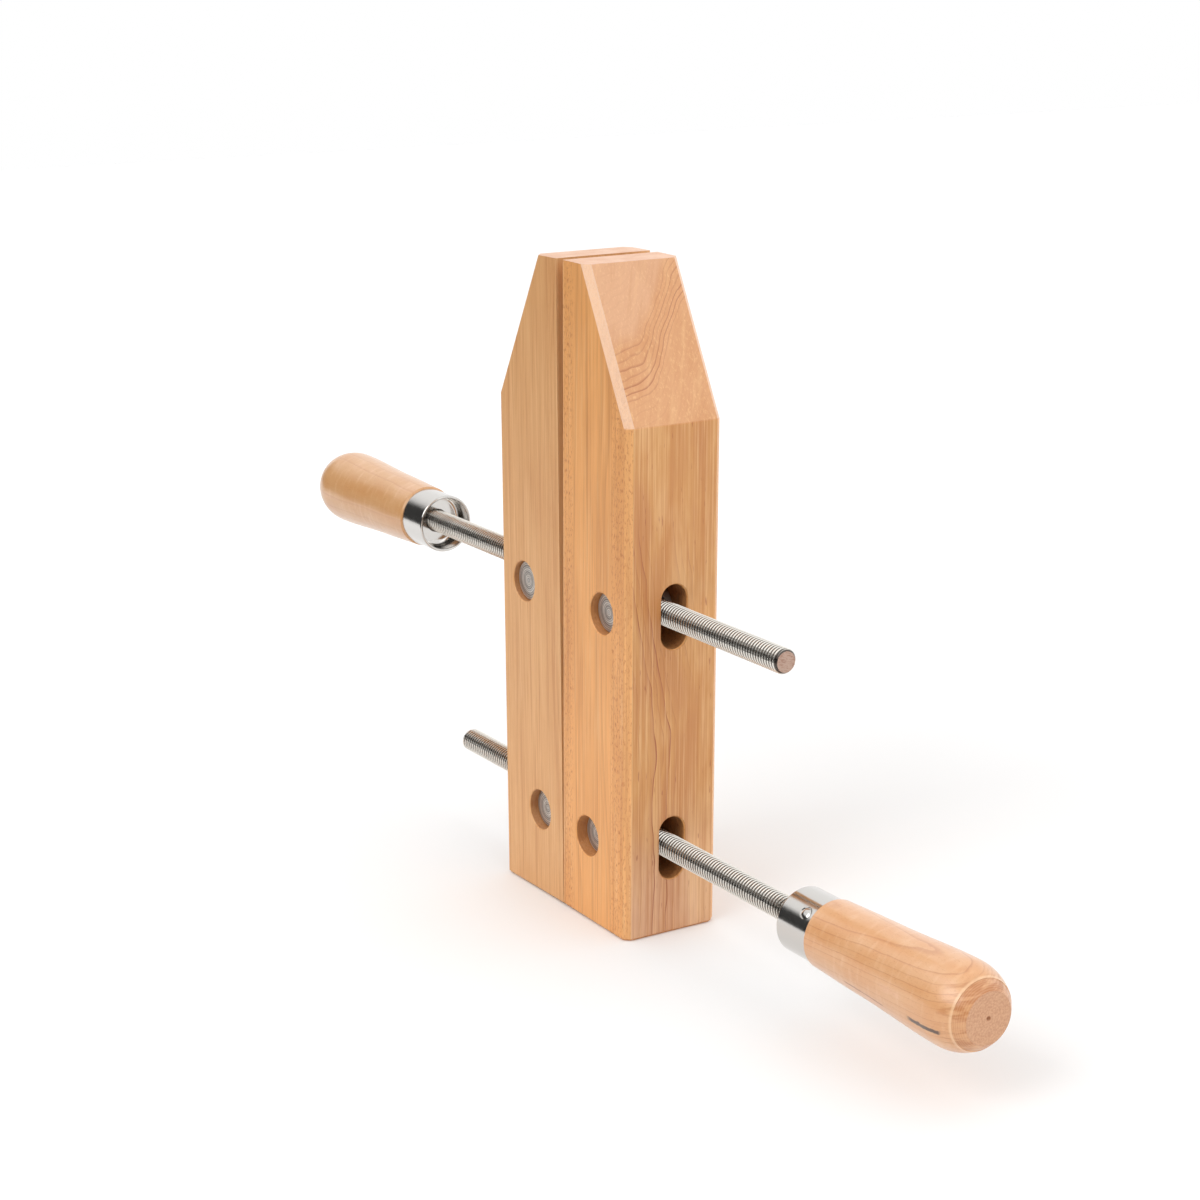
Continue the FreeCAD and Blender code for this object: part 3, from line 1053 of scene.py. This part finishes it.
@dataclass
class Spindle:
    """A spindle with a left-hand thread on its left half and a right-hand one on its right half."""

    layout: SpindleLayout
    body: str

    def thread(self, start: float, end: float, hand: Hand) -> BMesh:
        """Cut a closed length of thread.

        Args:
            start: Where the thread starts along X, in millimetres.
            end: Where it ends.
            hand: Its hand.

        Returns:
            The thread, in metres.
        """
        size = self.layout
        pitch = size.pitch
        profile = [(0.0, size.radius), (size.crest_end, size.radius), (size.root_start, size.root_radius),
                   (size.root_end, size.root_radius), (1.0, size.radius)]
        mesh = bmesh.new()
        first = start - pitch
        points = [mesh.verts.new(Vector((first + pitch * share, 0.0, radius)) * MM) for share, radius in profile]
        edges = [mesh.edges.new(pair) for pair in zip(points, points[1:])]
        bmesh.ops.spin(
            mesh, geom=points + edges, cent=(0, 0, 0), axis=(1, 0, 0), angle=hand.value * FULL_TURN,
            steps=size.facets, dvec=(pitch / size.facets * MM, 0, 0), use_merge=False,
        )
        turn = list(mesh.verts) + list(mesh.edges) + list(mesh.faces)
        for number in range(1, math.ceil((end - start) / pitch) + 2):
            copy = bmesh.ops.duplicate(mesh, geom=turn)["geom"]
            moved = [item for item in copy if isinstance(item, bmesh.types.BMVert)]
            bmesh.ops.translate(mesh, verts=moved, vec=(pitch * number * MM, 0, 0))
        bmesh.ops.remove_doubles(mesh, verts=mesh.verts, dist=THREAD_WELD)
        for place, away in ((start, -1), (end, 1)):
            cut = bmesh.ops.bisect_plane(
                mesh, geom=list(mesh.verts) + list(mesh.edges) + list(mesh.faces), dist=CUT_REACH,
                plane_co=(place * MM, 0, 0), plane_no=(away, 0, 0), clear_outer=True,
            )
            rim = [item for item in cut["geom_cut"] if isinstance(item, bmesh.types.BMEdge)]
            bmesh.ops.contextual_create(mesh, geom=rim)
        return mesh

    def ease_end(self, mesh: BMesh) -> None:
        """Bevel the spindle's free end by drawing its last crests in towards the axis.

        Args:
            mesh: The spindle, in metres, with its axis along X.
        """
        size = self.layout
        away = -size.handle_side.value
        for vert in mesh.verts:
            short = size.free_reach - vert.co.x / MM * away
            most = size.radius - max(0.0, size.end_ease - short)
            radius = math.hypot(vert.co.y, vert.co.z) / MM
            if radius > most:
                vert.co.y *= most / radius
                vert.co.z *= most / radius

    def neck(self) -> BMesh:
        """Turn the plain neck between the two threads.

        Returns:
            The neck, in metres.
        """
        size = self.layout
        mesh = bmesh.new()
        shoulder = size.neck_half + size.neck_overlap
        outline = [(-shoulder, 0.0), (-shoulder, size.root_radius), (-size.neck_half, size.neck_radius),
                   (size.neck_half, size.neck_radius), (shoulder, size.root_radius), (shoulder, 0.0)]
        lathe(mesh, outline, size.facets)
        return mesh

    def build(self) -> None:
        """Build the whole spindle in its place, to turn with its handle."""
        size = self.layout
        whole = self.neck()
        left_run = (-size.reach(Side.LEFT), -size.neck_half, Hand.LEFT_HAND)
        right_run = (size.neck_half, size.reach(Side.RIGHT), Hand.RIGHT_HAND)
        for start, end, hand in (left_run, right_run):
            part = self.thread(start, end, hand)
            part_data = bpy.data.meshes.new("thread")
            part.to_mesh(part_data)
            part.free()
            whole.from_mesh(part_data)
            bpy.data.meshes.remove(part_data)
        self.ease_end(whole)
        bmesh.ops.recalc_face_normals(whole, faces=whole.faces)
        bmesh.ops.translate(whole, verts=whole.verts, vec=(0, 0, size.height * MM))
        name = "threaded_spindle_" + size.name
        piece = finish_mesh(whole, name, SpindleSteel("steel_" + name).make(size))
        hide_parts("spindle_" + size.name)
        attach(piece, self.body)
        LOG.info("%s built, %d faces", name, len(piece.data.polygons))


def lathe(mesh: BMesh, outline: Sequence[tuple[float, float]], facets: int) -> None:
    """Turn an outline about the X axis into a closed solid.

    Args:
        mesh: The bmesh that takes the solid.
        outline: Points of (along, radius) in millimetres, from the axis back to the axis.
        facets: How many flats go round.
    """
    points = [mesh.verts.new(Vector((along, 0.0, radius)) * MM) for along, radius in outline]
    edges = [mesh.edges.new(pair) for pair in zip(points, points[1:])]
    bmesh.ops.spin(
        mesh, geom=points + edges, cent=(0, 0, 0), axis=(1, 0, 0), angle=FULL_TURN, steps=facets,
        dvec=(0, 0, 0), use_merge=True,
    )
    bmesh.ops.remove_doubles(mesh, verts=mesh.verts, dist=LATHE_WELD)
    bmesh.ops.recalc_face_normals(mesh, faces=mesh.faces)


@dataclass
class Grip:
    """A handle with its ferrule and pin."""

    name: str
    layout: HandleLayout
    wood: HandleWood
    marks: tuple[WoodMark, ...] = ()

    def dress(self, nodes: dict[str, Object]) -> None:
        """Give the handle its varnished wood, and the ferrule and the pin their plating.

        Args:
            nodes: The CAD's nodes by name.
        """
        dress(nodes["handle_" + self.name], self.wood.make(self.layout, self.marks))
        dress(nodes["ferrule_" + self.name], FerruleChrome("plate_ferrule_" + self.name).make())
        dress(nodes["ferrule_pin_" + self.name], FerruleChrome("plate_pin_" + self.name, line_depth=0.004).make())
        LOG.info("handle_%s dressed", self.name)


@dataclass(frozen=True)
class View:
    """The photograph's camera, in millimetres and degrees."""

    target: tuple[float, float, float] = (-5.61, 0.0, 120.22)
    distance: float = 984.97
    azimuth: float = 58.0
    elevation: float = 15.14
    roll: float = -0.17
    focal_pixels: float = 2542.48
    frame_pixels: float = 1200.0
    sensor: float = 36.0
    reach_m: float = 20.0

    def build(self) -> None:
        """Place the camera."""
        around, above = math.radians(self.azimuth), math.radians(self.elevation)
        back = Vector((math.sin(around) * math.cos(above), -math.cos(around) * math.cos(above), math.sin(above)))
        right = Vector((0, 0, 1)).cross(back).normalized()
        up = back.cross(right)
        turn = math.radians(self.roll)
        across = right * math.cos(turn) + up * math.sin(turn)
        upright = up * math.cos(turn) - right * math.sin(turn)
        data = bpy.data.cameras.new("photo_camera")
        data.sensor_width = self.sensor
        data.lens = self.sensor * self.focal_pixels / self.frame_pixels
        data.clip_end = self.reach_m
        camera = bpy.data.objects.new("photo_camera", data)
        columns = Matrix((across, upright, back)).transposed().to_4x4()
        columns.translation = (Vector(self.target) + back * self.distance) * MM
        camera.matrix_world = columns
        bpy.context.scene.collection.objects.link(camera)
        bpy.context.scene.camera = camera


@dataclass(frozen=True)
class Softbox:
    """A square white area light that faces a point, in metres and watts."""

    name: str
    place: tuple[float, float, float]
    width: float
    power: float
    aim: tuple[float, float, float] = (0.0, 0.0, 0.1)

    def build(self) -> None:
        """Hang the light."""
        data = bpy.data.lights.new(self.name, "AREA")
        data.shape = "SQUARE"
        data.size = self.width
        data.energy = self.power
        lamp = bpy.data.objects.new(self.name, data)
        lamp.location = self.place
        facing = Vector(self.aim) - Vector(self.place)
        lamp.rotation_euler = facing.to_track_quat("-Z", "Y").to_euler()
        bpy.context.scene.collection.objects.link(lamp)


@dataclass(frozen=True)
class Studio:
    """The pale floor, the room's light and the lamps.

    Attributes:
        floor_reach: Half the floor's width, in metres.
        floor_front: Where the floor's front edge lies along Y, in metres.
        room: The strength of the white room's light.
        dark_wall: The strength of the light from the dark wall.
        lamps: The lamps.
    """

    floor_reach: float = 3.0
    floor_front: float = -0.42
    room: float = 1.14
    dark_wall: float = 0.05
    lamps: tuple[Softbox, ...] = (
        Softbox("key", (0.3, -1.5, 1.25), 1.2, 14.5),
        Softbox("right_fill", (1.7, 0.2, 0.9), 1.2, 2.6),
    )

    def light_room(self) -> None:
        """Make the room white, but with a dark wall in front of the clamp that only its gloss and shade see."""
        world = bpy.data.worlds.new("studio")
        world.use_nodes = True
        wiring = Wiring(world.node_tree)
        towards = wiring.node("ShaderNodeTexCoord").outputs["Generated"]
        apart = wiring.node("ShaderNodeSeparateXYZ", {}, {0: towards})
        ahead, rise = Reading(wiring, apart.outputs[1]), Reading(wiring, apart.outputs[2])
        wall = rise.step(0.52, 0.36) * ahead.step(0.15, -0.15)
        seen = Reading(wiring, wiring.node("ShaderNodeLightPath").outputs["Is Camera Ray"])
        white = (self.room,) * 3
        shade = wiring.blend(wall, white, (self.dark_wall,) * 3)
        light = wiring.blend(seen, shade, (1.0, 1.0, 1.0))
        background = wiring.node("ShaderNodeBackground", {}, {"Color": light, "Strength": 1.0})
        wiring.node("ShaderNodeOutputWorld", {}, {"Surface": background.outputs[0]})
        bpy.context.scene.world = world

    def build(self) -> None:
        """Lay the floor, set the room's light and hang the lamps."""
        mesh = bmesh.new()
        bmesh.ops.create_grid(mesh, x_segments=1, y_segments=1, size=self.floor_reach)
        bmesh.ops.translate(mesh, verts=mesh.verts, vec=(0.0, self.floor_reach + self.floor_front, 0.0))
        floor = finish_mesh(mesh, "studio_floor", StudioPaper().make())
        self.light_room()
        bpy.context.scene.view_settings.view_transform = "Standard"
        for lamp in self.lamps:
            lamp.build()


def main(frame: dict[str, Any]) -> None:
    """Build the clamp's looks in order.
    """
    nodes = frame["nodes"]
    layout = JawLayout()
    woods = {
        Side.LEFT: JawWood("wood_jaw_left", seed=3.7, ring_spacing=2.6, ring_strength=0.30, fleck_strength=0.10,
                           figure=0.35, front=paint(224, 170, 114)),
        Side.RIGHT: JawWood("wood_jaw_right", seed=11.3, ring_spacing=3.1, ring_strength=0.34, fleck_strength=0.85,
                            figure=0.90),
    }
    for side, wood in woods.items():
        Jaw(side, wood, layout).dress(nodes)
    for seed, node in enumerate(("nut_middle_left", "nut_middle_right", "nut_end_left", "nut_end_right")):
        Nut(node, 1.7 * seed).dress(nodes)
    spindle_heights = {}
    for name in ("middle", "end"):
        low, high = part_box("spindle_" + name)
        spindle_heights[name] = (low[2] + high[2]) / (2 * MM)
    layouts = (
        SpindleLayout("middle", spindle_heights["middle"], free_reach=116.5, buried_reach=187.5, handle_side=Side.LEFT),
        SpindleLayout("end", spindle_heights["end"], free_reach=110.5, buried_reach=187.5, handle_side=Side.RIGHT),
    )
    for spindle in layouts:
        Spindle(spindle, "handle_" + spindle.name).build()
    streaks = (
        WoodMark(start=59.0, end=76.0, angle_deg=-162.0, width=2.1, strength=0.95, colour=paint(78, 58, 50)),
        WoodMark(start=22.0, end=46.0, angle_deg=-153.0, width=0.9, strength=0.70, colour=paint(150, 84, 56)),
    )
    middle_wood = HandleWood(
        "wood_handle_middle", seed=5.1, heart_deg=150.0, slant=-0.03, ring_spacing=3.4, line_strength=0.30,
        body=paint(212, 162, 112), warm=paint(204, 146, 92), pink=paint(220, 172, 134),
    )
    end_wood = HandleWood(
        "wood_handle_end", seed=8.9, heart_deg=103.0, slant=-0.08, ring_spacing=2.0, line_strength=0.42,
    )
    grips = (
        Grip("middle", HandleLayout(Side.LEFT, spindle_heights["middle"]), middle_wood),
        Grip("end", HandleLayout(Side.RIGHT, spindle_heights["end"]), end_wood, marks=streaks),
    )
    for grip in grips:
        grip.dress(nodes)
    Studio().build()
    View().build()


if __name__ == "__main__":
    logging.basicConfig(level=logging.INFO, format="%(name)s: %(message)s")
    cad_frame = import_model()
    main(cad_frame)
